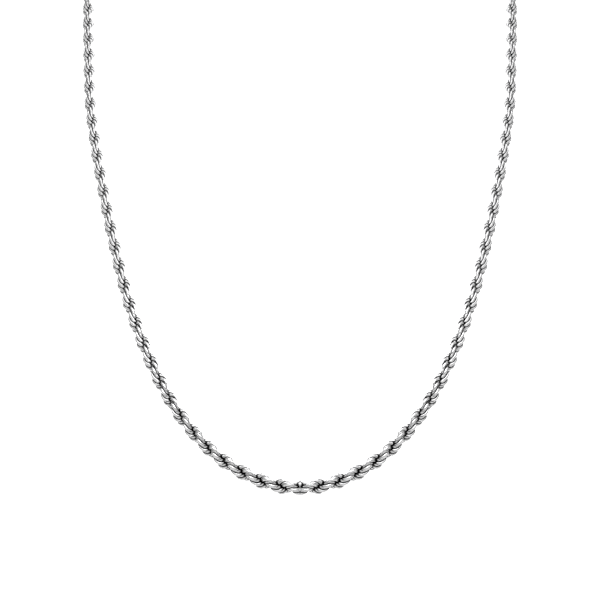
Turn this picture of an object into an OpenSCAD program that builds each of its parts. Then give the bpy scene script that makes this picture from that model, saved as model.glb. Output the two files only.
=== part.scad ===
// Twisted chain necklace: a rope chain worn round the neck, closed at the nape by a
// claw clasp between two jump rings and two soldered end caps.
// The origin is the middle of the neck, level with where the chain lies on its sides.
// +Z is up, and the front of the necklace faces -Y.

/* [Rope] */
// Thickness of the rope over its links
rope_d = 3; // [2.6:0.1:3.2]
// Length round the closed loop, clasp included
loop_l = 508; // [470:1:550]

/* [End caps] */
// Thickness of a cap's wall
cap_wall = 0.35; // [0.3:0.05:0.6]
// Length of rope that a cap holds
cap_grip = 3.2; // [2:0.1:4]
// Width of the roll round a cap's mouth
cap_roll = 0.5; // [0.4:0.05:0.7]
// Thickness of the wire of a cap's eye
eye_wire = 0.8; // [0.7:0.05:0.9]

/* [Jump rings] */
// Thickness of a jump ring's wire
ring_wire = 0.8; // [0.7:0.05:0.9]
// Middle diameter of the ring between the cap and the clasp's own eye
small_ring_d = 3.5; // [3.4:0.05:3.7]
// Middle diameter of the ring that the claw closes on
large_ring_d = 4.6; // [4.5:0.05:4.8]

/* [Clasp] */
// Thickness of the clasp at the middle of the claw
claw_t = 2.2; // [1.8:0.1:2.2]
// Thickness of the clasp at its eye
clasp_eye_t = 1.5; // [1.3:0.1:1.6]
// Width of the claw
claw_w = 6.2; // [5.8:0.1:6.6]
// Width of the claw's opening
claw_gap = 3.4; // [3:0.1:3.6]

/* [Hidden] */

// Half of the loop in millimetres, from the middle of the front, over the side of the
// neck, to the last point before the rope's end. The other half is its mirror image.
// Each row is a point on the middle of the rope: [x, y, z].
half_loop = [
    [0, -60, -130],
    [7.5, -59.4, -128.8],
    [15.5, -57.4, -125],
    [22.6, -54.2, -119],
    [28.9, -49.8, -111],
    [34.5, -44.8, -101],
    [39, -39.6, -91],
    [43.1, -34.2, -79.5],
    [47, -28.6, -67],
    [50, -24, -56.5],
    [53, -18.8, -44],
    [55, -13.4, -31],
    [56.9, -7.8, -17.5],
    [58.4, -1.6, -5],
    [58.4, 7, 5],
    [55.5, 17.3, 11.5],
    [49.8, 27.6, 15.5],
    [41.8, 36, 17.9],
    [31.6, 42.8, 19.4],
    [21, 47.2, 20.1],
];
// Length of the whole loop that these points make
drawn_loop_l = 508;
// Middle of the nape, where the clasp lies, and the rope's end beside it
nape = [0, 49.8, 20.4];
rope_end = [10.5, 49.4, 20.4];
// A point inside the loop, from which the rope's outer side is told
loop_middle = [0, 0, -50];

// The rope is a tube of flat sides that its links fit inside
tube_sides = 8;
tube_rings = 40;
tube_r = rope_d / 2 / cos(180 / tube_sides);

// Room between pieces, and the solid metal at a cap's closed end
play = 0.1;
cap_floor = 0.8;
cap_shoulder = 0.6;
// Room round a ring's wire in an eye and in the claw, and the metal round them
eye_room = 0.35;
claw_room = 0.45;
clasp_eye_wall = 0.65;
claw_wall = 1.5;
// The claw's opening narrows to this width and this place, towards the clasp's own eye
claw_throat = 1.9;
claw_throat_x = 0.3;
smooth = 48;
coarse = 32;

function unit(v) = v / norm(v);

// Route of the right half at its real size
loop_scale = loop_l / drawn_loop_l;
route = concat([for (p = half_loop) nape + (p - nape) * loop_scale], [rope_end]);
spans = len(route) - 1;
before_first = [-route[1][0], route[1][1], route[1][2]];
after_last = 2 * route[spans] - route[spans - 1];

function knot(i) = i < 0 ? before_first : i > spans ? after_last : route[i];

// Smooth curve through four neighbouring points, t running from the second to the third
function curve(a, b, c, d, t) =
    0.5 * (2 * b + (c - a) * t + (2 * a - 5 * b + 4 * c - d) * t * t
        + (3 * b - a - 3 * c + d) * t * t * t);

function on_route(u) =
    let (i = min(floor(u), spans - 1))
    curve(knot(i - 1), knot(i), knot(i + 1), knot(i + 2), u - i);

tube_last = tube_rings - 1;
tube_path = [for (i = [0 : tube_last]) on_route(i * spans / tube_last)];
end_direction = unit(tube_path[tube_last] - tube_path[tube_last - 1]);

// Direction of the rope at a ring of the tube: across the front's middle at the first
// ring, and along the last straight stretch at the last one
function heading(i) =
    i == 0 ? [1, 0, 0]
    : i == tube_last ? end_direction
    : unit(tube_path[i + 1] - tube_path[i - 1]);

// Corners of one ring, the first half a side from the outer side of the loop
function tube_ring(i) =
    let (
        p = tube_path[i],
        t = heading(i),
        away = p - loop_middle,
        outer = unit(away - (away * t) * t),
        across = cross(t, outer)
    )
    [for (k = [0 : tube_sides - 1])
        let (turn = 360 * (k + 0.5) / tube_sides)
        p + tube_r * (cos(turn) * outer + sin(turn) * across)];

// The cap's eye stands past the rope's end, in line with the rope
cup_r = tube_r + play;
cap_r = cup_r + cap_wall;
cap_top = play + cap_floor + cap_shoulder;
eye_hole_r = ring_wire / 2 + eye_room;
eye_r = eye_hole_r + eye_wire / 2;
eye_at = cap_top + eye_r;
eye_middle = rope_end + eye_at * end_direction;
cap_tilt = acos(end_direction[2]);
cap_heading = atan2(end_direction[1], end_direction[0]);

// The clasp fills what the two jump rings leave between the caps' eyes
clasp_eye_x = small_ring_d - eye_middle[0];
clasp_eye_r = eye_hole_r + clasp_eye_wall;
claw_mouth_x = eye_middle[0] - large_ring_d + ring_wire / 2 + claw_room;
claw_x = claw_mouth_x + claw_wall - claw_w / 2;

module tube(corners) {
    rings = len(corners);
    points = [for (ring = corners) each ring];
    first_end = [for (k = [0 : tube_sides - 1]) k];
    last_end = [for (k = [tube_sides - 1 : -1 : 0]) (rings - 1) * tube_sides + k];
    sides = [
        for (i = [0 : rings - 2], k = [0 : tube_sides - 1])
        let (next = (k + 1) % tube_sides)
        [i * tube_sides + next, i * tube_sides + k,
            (i + 1) * tube_sides + k, (i + 1) * tube_sides + next]
    ];
    polyhedron(points, concat([first_end, last_end], sides));
}

module wire_ring(middle_r, wire) {
    rotate_extrude($fn = smooth) translate([middle_r, 0]) circle(wire / 2, $fn = coarse);
}

module chain_right() {
    color("silver") tube([for (i = [0 : tube_last]) tube_ring(i)]);
}

module chain_left() {
    mirror([1, 0, 0]) chain_right();
}

// Outline of the cup over the rope's end: a rolled mouth, a thin wall, a thick floor and
// a rounded shoulder. Here the rope's end is at the origin and +Y leads away from it.
module cap_outline() {
    difference() {
        union() {
            translate([0, -cap_grip]) square([cap_r, cap_grip + play + cap_floor]);
            square([cap_r - cap_shoulder, cap_top]);
            translate([cap_r - cap_shoulder, cap_top - cap_shoulder]) circle(cap_shoulder);
            translate([cap_r, cap_roll / 2 - cap_grip]) circle(cap_roll / 2);
        }
        translate([0, -cap_grip]) square([cup_r, cap_grip + play]);
    }
}

// The cap and the eye soldered on its closed end, with +Z leading away from the rope
module end_cap() {
    rotate_extrude($fn = smooth) cap_outline($fn = coarse);
    translate([0, 0, eye_at]) rotate([90, 0, 0]) wire_ring(eye_r, eye_wire);
}

module end_cap_right() {
    color("silver") translate(rope_end) rotate([0, cap_tilt, cap_heading]) end_cap();
}

module end_cap_left() {
    mirror([1, 0, 0]) end_cap_right();
}

module jump_ring_right() {
    color("silver")
        translate(eye_middle - [large_ring_d / 2, 0, 0]) wire_ring(large_ring_d / 2, ring_wire);
}

module jump_ring_left() {
    color("silver") mirror([1, 0, 0])
        translate(eye_middle - [small_ring_d / 2, 0, 0]) wire_ring(small_ring_d / 2, ring_wire);
}

// A ball pressed flat, as thick as t along Z
module flat_ball(x, r, t) {
    translate([x, 0, 0]) scale([1, 1, t / 2 / r]) sphere(r, $fn = coarse);
}

module hole(x, r) {
    translate([x, 0, -claw_t]) cylinder(h = 2 * claw_t, r = r, $fn = coarse);
}

// Rounded drop that lies flat on the nape, with its eye at one end and the closed claw
// at the other
module clasp() {
    color("silver")
        translate([0, eye_middle[1], eye_middle[2]]) rotate([90, 0, 0])
        difference() {
            hull() {
                flat_ball(clasp_eye_x, clasp_eye_r, clasp_eye_t);
                flat_ball(claw_x, claw_w / 2, claw_t);
            }
            hull() {
                hole(claw_throat_x, claw_throat / 2);
                hole(claw_mouth_x - claw_gap / 2, claw_gap / 2);
            }
            hole(clasp_eye_x, eye_hole_r);
        }
}

chain_right();
chain_left();
end_cap_right();
end_cap_left();
jump_ring_right();
jump_ring_left();
clasp();
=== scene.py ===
# Silver rope chain necklace, worn, seen from the front.
# Two mirrored halves of interlocked round links, closed at the nape by a claw clasp.
import math

import bmesh
import bpy
from mathutils import Matrix, Vector
from mathutils.bvhtree import BVHTree


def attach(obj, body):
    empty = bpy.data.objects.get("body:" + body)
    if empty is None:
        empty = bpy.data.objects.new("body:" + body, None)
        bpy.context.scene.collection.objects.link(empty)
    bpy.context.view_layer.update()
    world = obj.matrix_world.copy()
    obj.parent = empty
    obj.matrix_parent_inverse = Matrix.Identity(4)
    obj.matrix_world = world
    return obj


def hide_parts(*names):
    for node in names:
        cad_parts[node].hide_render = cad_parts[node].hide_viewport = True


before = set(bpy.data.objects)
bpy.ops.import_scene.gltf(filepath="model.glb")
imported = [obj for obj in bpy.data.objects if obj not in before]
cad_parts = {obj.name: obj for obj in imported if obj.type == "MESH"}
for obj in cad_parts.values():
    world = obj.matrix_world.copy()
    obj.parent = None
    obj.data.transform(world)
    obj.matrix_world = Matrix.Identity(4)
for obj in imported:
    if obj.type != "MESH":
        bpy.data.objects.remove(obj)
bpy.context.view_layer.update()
mm = 0.001

# Middle of the rope from the front's middle over the side of the neck to the rope's end,
# in millimetres, the same points as in the solids.
halfLoop = [
    (0, -60, -130),
    (7.5, -59.4, -128.8),
    (15.5, -57.4, -125),
    (22.6, -54.2, -119),
    (28.9, -49.8, -111),
    (34.5, -44.8, -101),
    (39, -39.6, -91),
    (43.1, -34.2, -79.5),
    (47, -28.6, -67),
    (50, -24, -56.5),
    (53, -18.8, -44),
    (55, -13.4, -31),
    (56.9, -7.8, -17.5),
    (58.4, -1.6, -5),
    (58.4, 7, 5),
    (55.5, 17.3, 11.5),
    (49.8, 27.6, 15.5),
    (41.8, 36, 17.9),
    (31.6, 42.8, 19.4),
    (21, 47.2, 20.1),
    (10.5, 49.4, 20.4),
]


# Node building helpers

def addNode(tree, kind, inputs=None, **settings):
    node = tree.nodes.new(kind)
    for key, value in settings.items():
        setattr(node, key, value)
    for key, value in (inputs or {}).items():
        feed(tree, node.inputs[key], value)
    return node


def feed(tree, socket, value):
    if isinstance(value, bpy.types.NodeSocket):
        tree.links.new(value, socket)
    else:
        socket.default_value = value


def calc(tree, operation, a, b=0.0):
    node = addNode(tree, "ShaderNodeMath", operation=operation)
    feed(tree, node.inputs[0], a)
    if operation not in {"SINE", "COSINE", "TANH", "ABSOLUTE", "SIGN"}:
        feed(tree, node.inputs[1], b)
    return node.outputs[0]


def vectorCalc(tree, operation, a, b=None):
    node = addNode(tree, "ShaderNodeVectorMath", operation=operation)
    feed(tree, node.inputs[0], a)
    if b is not None:
        feed(tree, node.inputs["Scale" if operation == "SCALE" else 1], b)
    return node.outputs["Value" if operation in {"DOT_PRODUCT", "LENGTH"} else "Vector"]


def vector(tree, x=0.0, y=0.0, z=0.0):
    return addNode(tree, "ShaderNodeCombineXYZ", {"X": x, "Y": y, "Z": z}).outputs[0]


def combine(tree, a, aShare, b, bShare):
    # a times aShare plus b times bShare, for vectors
    return vectorCalc(
        tree, "ADD", vectorCalc(tree, "SCALE", a, aShare), vectorCalc(tree, "SCALE", b, bShare)
    )


# Finishes

def newMaterial(name):
    material = bpy.data.materials.new(name)
    material.use_nodes = True
    tree = material.node_tree
    shader = tree.nodes["Principled BSDF"]
    return material, tree, shader


def ramp(tree, value, low, high, toLow=0.0, toHigh=1.0, smooth=True):
    kind = "SMOOTHSTEP" if smooth else "LINEAR"
    limits = {"From Min": low, "From Max": high, "To Min": toLow, "To Max": toHigh}
    node = addNode(tree, "ShaderNodeMapRange", {"Value": value, **limits}, interpolation_type=kind)
    return node.outputs["Result"]


def fineScratches(tree, v):
    coords = addNode(tree, "ShaderNodeTexCoord").outputs["Object"]
    if "scratchStretch" in v:
        stretch = {"Vector": coords, "Scale": v["scratchStretch"]}
        coords = addNode(tree, "ShaderNodeMapping", stretch).outputs["Vector"]
    grain = {"Vector": coords, "Scale": v["scratchScale"], "Detail": v["scratchDetail"]}
    return addNode(tree, "ShaderNodeTexNoise", grain).outputs["Fac"]


def raiseScratches(tree, shader, scratches, v):
    bump = addNode(tree, "ShaderNodeBump", {"Height": scratches})
    bump.inputs["Strength"].default_value = v["scratchBump"]
    bump.inputs["Distance"].default_value = v["scratchDepth"]
    tree.links.new(bump.outputs["Normal"], shader.inputs["Normal"])


linkSilver = {
    # Painted shade: the link's colour goes from this bright silver to near black in the crevices
    # between the wires, by the share of the sky that the neighbouring wires hide
    "crownColor": (0.94, 0.94, 0.945, 1),
    "shadedGapColor": (0.006, 0.006, 0.007, 1),
    "crownRoughness": 0.14,
    "gapRoughness": 0.5,
    "linkSpread": 0.06,  # roughness that the dullest link has more than the brightest
    "paintedShadeFrom": 0.17,  # share of the sky that a point's neighbours hide
    "paintedShadeTo": 0.45,
    "scratchScale": 9000.0,
    "scratchDetail": 4.0,
    "scratchRoughness": 0.08,
    "scratchBump": 0.06,
    "scratchDepth": 0.02 * mm,
}


def makeLinkSilver(v):
    material, tree, shader = newMaterial("linkSilver")
    crevice = addNode(tree, "ShaderNodeAttribute", attribute_name="crevice").outputs["Fac"]
    # Painted shade mask: 1 where the wire is open to the sky, 0 deep in the crevices, where the
    # colour is near black; it also sets the roughness
    unshadedShare = ramp(tree, crevice, v["paintedShadeFrom"], v["paintedShadeTo"], 1.0, 0.0)
    color = addNode(tree, "ShaderNodeMix", data_type="RGBA")
    feed(tree, color.inputs["Factor"], unshadedShare)
    for socket in color.inputs:
        if socket.type == "RGBA":
            socket.default_value = v["shadedGapColor"] if socket.name == "A" else v["crownColor"]
    result = [s for s in color.outputs if s.type == "RGBA"][0]
    tree.links.new(result, shader.inputs["Base Color"])
    scratches = fineScratches(tree, v)
    rough = calc(
        tree,
        "ADD",
        ramp(tree, unshadedShare, 0, 1, v["gapRoughness"], v["crownRoughness"], smooth=False),
        calc(tree, "MULTIPLY", scratches, v["scratchRoughness"]),
    )
    tone = addNode(tree, "ShaderNodeAttribute", attribute_name="linkTone").outputs["Fac"]
    rough = calc(tree, "ADD", rough, calc(tree, "MULTIPLY", tone, v["linkSpread"]))
    tree.links.new(rough, shader.inputs["Roughness"])
    shader.inputs["Metallic"].default_value = 1.0
    raiseScratches(tree, shader, scratches, v)
    return material


findingSilver = {
    "color": (0.93, 0.93, 0.935, 1),
    "leastRoughness": 0.1,
    "mostRoughness": 0.26,
    "scratchFrom": 0.3,  # share of the noise where the scratches begin
    "scratchTo": 0.8,
    "scratchScale": 5000.0,
    "scratchDetail": 5.0,
    "scratchStretch": (1, 1, 6),
    "scratchBump": 0.08,
    "scratchDepth": 0.02 * mm,
}


def makeFindingSilver(v):
    material, tree, shader = newMaterial("findingSilver")
    shader.inputs["Base Color"].default_value = v["color"]
    shader.inputs["Metallic"].default_value = 1.0
    scratches = fineScratches(tree, v)
    limits = (v["scratchFrom"], v["scratchTo"], v["leastRoughness"], v["mostRoughness"])
    tree.links.new(ramp(tree, scratches, *limits), shader.inputs["Roughness"])
    raiseScratches(tree, shader, scratches, v)
    return material


linkMaterial = makeLinkSilver(linkSilver)
findingMaterial = makeFindingSilver(findingSilver)
print("finishes made")


# Route of the rope

def makeRoute(points):
    # Smooth curve through the points, with the handles that make it the solids' own curve
    stepsBetween = 24
    curve = bpy.data.curves.new("ropeRoute", "CURVE")
    curve.dimensions = "3D"
    curve.resolution_u = stepsBetween
    spline = curve.splines.new("BEZIER")
    spline.bezier_points.add(len(points) - 1)
    places = [Vector(p) * mm for p in points]
    before = Vector((-places[1].x, places[1].y, places[1].z))
    after = 2 * places[-1] - places[-2]
    padded = [before] + places + [after]
    for i, knot in enumerate(spline.bezier_points):
        knot.handle_left_type = knot.handle_right_type = "FREE"
        reach = (padded[i + 2] - padded[i]) / 6  # a sixth of the way between its neighbours
        knot.co = places[i]
        knot.handle_left = places[i] - reach
        knot.handle_right = places[i] + reach
    route = bpy.data.objects.new("ropeRoute", curve)
    bpy.context.scene.collection.objects.link(route)
    return route


# The links of one half

ropeLinks = {
    "Wire Diameter": 0.6 * mm,
    "Link Radius": 1.145 * mm,  # to the middle of the wire
    "Off Axis": 0.15 * mm,  # from the rope's middle to a link's middle
    "Link Tilt": math.radians(91),  # from square across the rope
    "Link Lean": math.radians(28),  # along the rope, of its outer end
    "Link Spacing": 0.4639 * mm,  # along the rope, from one link to the next
    "First Link": 0.297 * mm,  # from the front's middle
    "Half Turn": 5.285 * mm,  # length of rope in which it twists by half a turn
    "Front Twist": 2.078,  # half turns more, towards the front's middle
    "Front Reach": 35.7 * mm,  # along the rope, where most of these are made
    "Twist Start": math.radians(31),  # at the front's middle, from the rope's outer side
    "Twist Sense": -1.0,
    "Links before Middle": 5,  # only their parts past the cut are kept
    "Link Sides": 16,
    "Wire Sides": 6,
    "Seed": 7,  # of each link's own tone
}
loopMiddle = (0, 0, -50 * mm)


def buildRopeTree():
    tree = bpy.data.node_groups.new("ropeLinks", "GeometryNodeTree")
    face = tree.interface
    face.new_socket("Geometry", in_out="INPUT", socket_type="NodeSocketGeometry")
    face.new_socket("Route", in_out="INPUT", socket_type="NodeSocketObject")
    face.new_socket("Material", in_out="INPUT", socket_type="NodeSocketMaterial")
    face.new_socket("Loop Middle", in_out="INPUT", socket_type="NodeSocketVector")
    face.new_socket("Link Count", in_out="INPUT", socket_type="NodeSocketInt")
    for name, value in ropeLinks.items():
        kind = "NodeSocketInt" if isinstance(value, int) else "NodeSocketFloat"
        face.new_socket(name, in_out="INPUT", socket_type=kind)
    face.new_socket("Geometry", in_out="OUTPUT", socket_type="NodeSocketGeometry")
    given = addNode(tree, "NodeGroupInput").outputs

    # Place of each link along the rope
    index = addNode(tree, "GeometryNodeInputIndex").outputs[0]
    number = calc(tree, "SUBTRACT", index, given["Links before Middle"])
    along = calc(
        tree, "ADD", calc(tree, "MULTIPLY", number, given["Link Spacing"]), given["First Link"]
    )
    routeShape = addNode(tree, "GeometryNodeObjectInfo", {"Object": given["Route"]})
    sample = addNode(tree, "GeometryNodeSampleCurve", {"Curves": routeShape.outputs["Geometry"]})
    sample.mode = "LENGTH"
    sample.data_type = "FLOAT"
    feed(tree, sample.inputs["Length"], calc(tree, "ABSOLUTE", along))

    # Links before the middle follow the mirrored route
    side = calc(tree, "SIGN", along)
    place = vectorCalc(tree, "MULTIPLY", sample.outputs["Position"], vector(tree, side, 1, 1))
    way = vectorCalc(tree, "MULTIPLY", sample.outputs["Tangent"], vector(tree, 1, side, side))

    # Directions across the rope, the first away from the loop's middle
    away = vectorCalc(tree, "SUBTRACT", place, given["Loop Middle"])
    alongPart = vectorCalc(tree, "SCALE", way, vectorCalc(tree, "DOT_PRODUCT", away, way))
    outer = vectorCalc(tree, "NORMALIZE", vectorCalc(tree, "SUBTRACT", away, alongPart))
    across = vectorCalc(tree, "CROSS_PRODUCT", way, outer)

    # Angle of each link round the rope
    front = calc(tree, "TANH", calc(tree, "DIVIDE", along, given["Front Reach"]))
    halfTurns = calc(
        tree,
        "ADD",
        calc(tree, "DIVIDE", along, given["Half Turn"]),
        calc(tree, "MULTIPLY", front, given["Front Twist"]),
    )
    # The links stand in two stacks, half a turn apart
    halfTurns = calc(tree, "ADD", halfTurns, number)
    halfTurn = calc(tree, "MULTIPLY", given["Twist Sense"], math.pi)
    turned = calc(tree, "MULTIPLY", halfTurns, halfTurn)
    angle = calc(tree, "ADD", turned, given["Twist Start"])
    sine = calc(tree, "SINE", angle)
    cosine = calc(tree, "COSINE", angle)
    radial = combine(tree, outer, cosine, across, sine)
    sideways = combine(tree, outer, calc(tree, "MULTIPLY", sine, -1), across, cosine)

    # Directions of the link's own wire ring
    tilt = calc(tree, "MULTIPLY", given["Link Tilt"], given["Twist Sense"])
    linkWay = combine(
        tree,
        sideways,
        calc(tree, "COSINE", tilt),
        way,
        calc(tree, "MULTIPLY", calc(tree, "SINE", tilt), -1),
    )
    upright = vectorCalc(tree, "CROSS_PRODUCT", radial, linkWay)
    lean = given["Link Lean"]
    leaning = combine(tree, radial, calc(tree, "COSINE", lean), upright, calc(tree, "SINE", lean))
    linkAxis = vectorCalc(tree, "CROSS_PRODUCT", leaning, linkWay)
    turn = addNode(
        tree,
        "FunctionNodeAxesToRotation",
        {"Primary Axis": linkAxis, "Secondary Axis": leaning},
        primary_axis="Z",
        secondary_axis="X",
    )

    # One point to a link, each with its own tone for the finish
    points = addNode(tree, "GeometryNodePoints", {"Count": given["Link Count"]}).outputs[0]
    tone = addNode(tree, "FunctionNodeRandomValue", {"Seed": given["Seed"]}, data_type="FLOAT")
    toneValue = [s for s in tone.outputs if s.type == "VALUE" and s.enabled][0]
    store = addNode(tree, "GeometryNodeStoreNamedAttribute", data_type="FLOAT", domain="POINT")
    store.inputs["Name"].default_value = "linkTone"
    feed(tree, store.inputs["Geometry"], points)
    feed(tree, store.inputs["Value"], toneValue)
    points = store.outputs[0]
    centre = vectorCalc(tree, "ADD", place, vectorCalc(tree, "SCALE", radial, given["Off Axis"]))
    moved = addNode(tree, "GeometryNodeSetPosition", {"Geometry": points, "Position": centre})

    # One link: round wire bent to a ring
    ring = addNode(
        tree,
        "GeometryNodeCurvePrimitiveCircle",
        {"Resolution": given["Link Sides"], "Radius": given["Link Radius"]},
    )
    wire = addNode(
        tree,
        "GeometryNodeCurvePrimitiveCircle",
        {
            "Resolution": given["Wire Sides"],
            "Radius": calc(tree, "DIVIDE", given["Wire Diameter"], 2),
        },
    )
    link = addNode(
        tree,
        "GeometryNodeCurveToMesh",
        {"Curve": ring.outputs[0], "Profile Curve": wire.outputs[0]},
    )
    placed = addNode(
        tree,
        "GeometryNodeInstanceOnPoints",
        {"Points": moved.outputs[0], "Instance": link.outputs[0], "Rotation": turn.outputs[0]},
    )
    real = addNode(tree, "GeometryNodeRealizeInstances", {"Geometry": placed.outputs[0]})
    shade = addNode(tree, "GeometryNodeSetShadeSmooth", {"Geometry": real.outputs[0]})
    finish = addNode(
        tree,
        "GeometryNodeSetMaterial",
        {"Geometry": shade.outputs[0], "Material": given["Material"]},
    )
    addNode(tree, "NodeGroupOutput", {"Geometry": finish.outputs[0]})
    return tree


def routeLength(route):
    return sum(spline.calc_length() for spline in route.data.splines)


def countLinks(length, v):
    # The last link lies just inside the cap's closed end
    linkHalf = v["Link Radius"] + v["Wire Diameter"] / 2
    room = length - linkHalf - v["First Link"]
    return int(room / v["Link Spacing"]) + 1 + v["Links before Middle"]


def makeRope(v):
    route = makeRoute(halfLoop)
    bpy.context.view_layer.update()
    tree = buildRopeTree()
    host = bpy.data.objects.new("ropeHost", bpy.data.meshes.new("ropeHost"))
    bpy.context.scene.collection.objects.link(host)
    modifier = host.modifiers.new("ropeLinks", "NODES")
    modifier.node_group = tree
    values = dict(v)
    values["Route"] = route
    values["Material"] = linkMaterial
    values["Loop Middle"] = loopMiddle
    values["Link Count"] = countLinks(routeLength(route), v)
    for item in tree.interface.items_tree:
        if item.in_out == "INPUT" and item.name in values:
            modifier[item.identifier] = values[item.name]
    bpy.context.view_layer.update()
    ready = host.evaluated_get(bpy.context.evaluated_depsgraph_get())
    mesh = bpy.data.meshes.new_from_object(ready)
    print("links in one half:", values["Link Count"], "faces:", len(mesh.polygons))
    bpy.data.objects.remove(host)
    bpy.data.objects.remove(route)
    return mesh


def cutAtMiddle(mesh):
    # The halves meet in a flat cut at the front's middle, each link closed there
    sameSpot = 1e-7
    shape = bmesh.new()
    shape.from_mesh(mesh)
    bmesh.ops.bisect_plane(
        shape,
        geom=shape.verts[:] + shape.edges[:] + shape.faces[:],
        dist=sameSpot,
        plane_co=(0, 0, 0),
        plane_no=(1, 0, 0),
        clear_inner=True,
    )
    edges = [e for e in shape.edges if e.is_boundary]
    bmesh.ops.holes_fill(shape, edges=edges, sides=0)
    bmesh.ops.recalc_face_normals(shape, faces=shape.faces[:])
    shape.to_mesh(mesh)
    shape.free()


crevices = {"rays": 20, "reach": 0.9 * mm, "lift": 0.02 * mm}


def markCrevices(mesh, v):
    # Share of the sky over each point that the neighbouring wire hides, kept for the painted shade
    # and the rougher finish in the crevices
    golden = math.pi * (3 - math.sqrt(5))
    fan = []
    for i in range(v["rays"]):
        share = (i + 0.5) / v["rays"]
        fan.append((math.sqrt(share), i * golden, math.sqrt(1 - share)))
    surface = BVHTree.FromPolygons(
        [point.co for point in mesh.vertices], [face.vertices[:] for face in mesh.polygons]
    )
    hidden = []
    for point in mesh.vertices:
        normal = point.normal
        side = normal.orthogonal().normalized()
        other = normal.cross(side)
        start = point.co + normal * v["lift"]
        hits = 0
        for spread, around, height in fan:
            way = normal * height + (side * math.cos(around) + other * math.sin(around)) * spread
            if surface.ray_cast(start, way, v["reach"])[0] is not None:
                hits += 1
        hidden.append(hits / len(fan))
    mesh.attributes.new("crevice", "FLOAT", "POINT").data.foreach_set("value", hidden)


def addPiece(name, mesh):
    piece = bpy.data.objects.new(name, mesh)
    bpy.context.scene.collection.objects.link(piece)
    return piece


def mirrored(mesh):
    other = mesh.copy()
    other.transform(Matrix.Scale(-1, 4, (1, 0, 0)))
    other.flip_normals()
    return other


rightMesh = makeRope(ropeLinks)
cutAtMiddle(rightMesh)
markCrevices(rightMesh, crevices)
leftMesh = mirrored(rightMesh)
for name, mesh, node in (
    ("ropeLinksRight", rightMesh, "chain_right"),
    ("ropeLinksLeft", leftMesh, "chain_left"),
):
    rope = addPiece(name, mesh)
    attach(rope, "root")
    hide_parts(node)
print("rope made")

for node in ("end_cap_right", "end_cap_left", "jump_ring_right", "jump_ring_left", "clasp"):
    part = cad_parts[node]
    for place in part.material_slots:
        place.material = findingMaterial
print("findings finished")


# Studio

studio = {
    "floorHeight": -0.26,
    "front": -2.5,
    "halfWidth": 2.5,
    "wallDistance": 1.1,
    "wallHeight": 2.0,
    "bend": 0.5,  # radius of the bend from the floor to the wall
    "bendSteps": 12,
    "paper": (0.96, 0.96, 0.96, 1),
    "paperRoughness": 0.8,
    "paperShine": 0.2,
    "glow": 1.0,
    "litFrom": -0.2,  # the lit part widens backwards from here, as the picture does
    "litSpread": 0.45,  # by this to each side for each metre
    "litFade": 0.4,
    "litNear": 0.18,  # fully lit behind this line
    "litNearFade": 0.2,
    "litTop": 0.5,  # fully lit below this height
    "litTopFade": 0.25,
}


def makeBackdrop(v):
    # Pale sweep: floor, round bend and wall in one
    outline = [(v["front"], 0.0)]
    for i in range(v["bendSteps"] + 1):
        a = math.pi / 2 * i / v["bendSteps"]
        back = v["wallDistance"] - v["bend"] * (1 - math.sin(a))
        outline.append((back, v["bend"] * (1 - math.cos(a))))
    outline.append((v["wallDistance"], v["wallHeight"]))
    corners = []
    for y, z in outline:
        for x in (-v["halfWidth"], v["halfWidth"]):
            corners.append((x, y, v["floorHeight"] + z))
    faces = [(2 * i, 2 * i + 1, 2 * i + 3, 2 * i + 2) for i in range(len(outline) - 1)]
    mesh = bpy.data.meshes.new("backdrop")
    mesh.from_pydata(corners, [], faces)
    for face in mesh.polygons:
        face.use_smooth = True
    backdrop = addPiece("backdrop", mesh)
    material, tree, shader = newMaterial("palePaper")
    shader.inputs["Base Color"].default_value = v["paper"]
    shader.inputs["Roughness"].default_value = v["paperRoughness"]
    shader.inputs["Specular IOR Level"].default_value = v["paperShine"]
    # Lit behind the necklace alone, so that the rest of the paper throws less light at it
    shader.inputs["Emission Color"].default_value = (1, 1, 1, 1)
    place = addNode(tree, "ShaderNodeTexCoord").outputs["Object"]
    split = addNode(tree, "ShaderNodeSeparateXYZ", {"Vector": place}).outputs
    behind = calc(tree, "SUBTRACT", split["Y"], v["litFrom"])
    edge = calc(tree, "MULTIPLY", behind, v["litSpread"])
    past = calc(tree, "SUBTRACT", calc(tree, "ABSOLUTE", split["X"]), edge)
    sideFade = ramp(tree, past, 0.0, v["litFade"], 1.0, 0.0)
    topFade = ramp(tree, split["Z"], v["litTop"], v["litTop"] + v["litTopFade"], 1.0, 0.0)
    nearFade = ramp(tree, split["Y"], v["litNear"] - v["litNearFade"], v["litNear"])
    lit = calc(tree, "MULTIPLY", calc(tree, "MULTIPLY", sideFade, topFade), nearFade)
    tree.links.new(calc(tree, "MULTIPLY", lit, v["glow"]), shader.inputs["Emission Strength"])
    mesh.materials.append(material)


makeBackdrop(studio)

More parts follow.
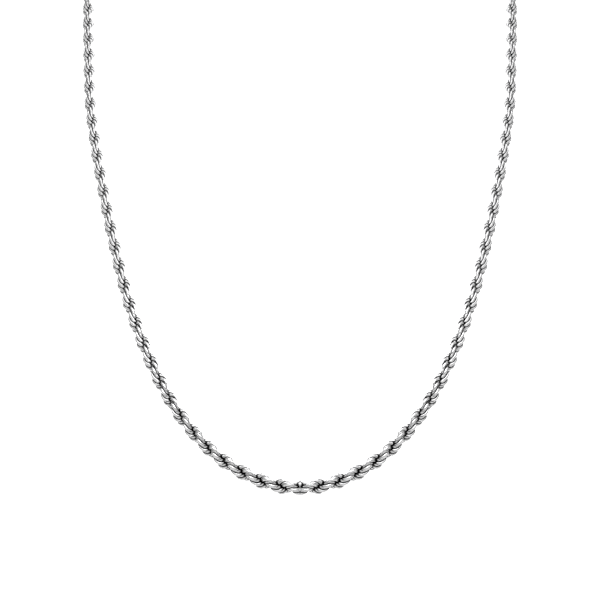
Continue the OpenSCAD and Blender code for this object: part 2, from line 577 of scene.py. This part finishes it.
lights = {
    # name: place, the point that it faces, size, power
    "overhead": ((0.0, -0.2, 0.9), (0.0, -0.02, -0.06), 1.0, 2.6),
    "frontLeft": ((-0.25, -0.9, 0.35), (0.0, -0.02, -0.06), 0.6, 0.25),
    "frontRight": ((0.25, -0.9, 0.35), (0.0, -0.02, -0.06), 0.6, 0.25),
    # These hang inside the loop and face its sides and front, so that the rope's inner
    # side is the brighter one
    "innerLeft": ((0.0, -0.03, -0.04), (-0.1, -0.03, -0.04), 0.1, 0.03),
    "innerRight": ((0.0, -0.03, -0.04), (0.1, -0.03, -0.04), 0.1, 0.03),
    "innerFront": ((0.0, -0.05, -0.085), (0.0, -0.06, -0.13), 0.06, 0.009),
}


def makeLights(table):
    for name, (place, target, size, power) in table.items():
        light = bpy.data.lights.new(name, "AREA")
        light.shape = "SQUARE"
        light.size = size
        light.energy = power
        lamp = bpy.data.objects.new(name, light)
        lamp.visible_camera = False
        lamp.location = place
        aim = Vector(target) - Vector(place)
        lamp.rotation_euler = aim.to_track_quat("-Z", "Y").to_euler()
        bpy.context.scene.collection.objects.link(lamp)


# Soft light from all round, stronger from above, up to the height that "turn" gives
sky = {"below": 0.02, "level": 0.22, "above": 0.6, "turn": 0.8, "color": (1, 1, 1, 1)}


def makeSky(v):
    world = bpy.data.worlds.new("studio")
    bpy.context.scene.world = world
    world.use_nodes = True
    tree = world.node_tree
    direction = addNode(tree, "ShaderNodeTexCoord").outputs["Generated"]
    height = addNode(tree, "ShaderNodeSeparateXYZ", {"Vector": direction}).outputs["Z"]
    lower = ramp(tree, height, -v["turn"], 0.0, v["below"], v["level"])
    upper = ramp(tree, height, 0.0, v["turn"], 0.0, v["above"] - v["level"])
    background = tree.nodes["Background"].inputs
    background["Color"].default_value = v["color"]
    tree.links.new(calc(tree, "ADD", lower, upper), background["Strength"])


makeLights(lights)
makeSky(sky)
bpy.context.scene.view_settings.view_transform = "Standard"

# The camera looks level, straight at the front
view = {"place": (0, -0.196, -0.0935), "pitch": 90, "lens": 42.0, "sensor": 36.0, "near": 0.005}


def makeCamera(v):
    lens = bpy.data.cameras.new("camera")
    lens.lens = v["lens"]
    lens.sensor_width = v["sensor"]
    lens.clip_start = v["near"]
    camera = bpy.data.objects.new("camera", lens)
    camera.location = v["place"]
    camera.rotation_euler = (math.radians(v["pitch"]), 0, 0)
    bpy.context.scene.collection.objects.link(camera)
    bpy.context.scene.camera = camera


makeCamera(view)
print("studio made")
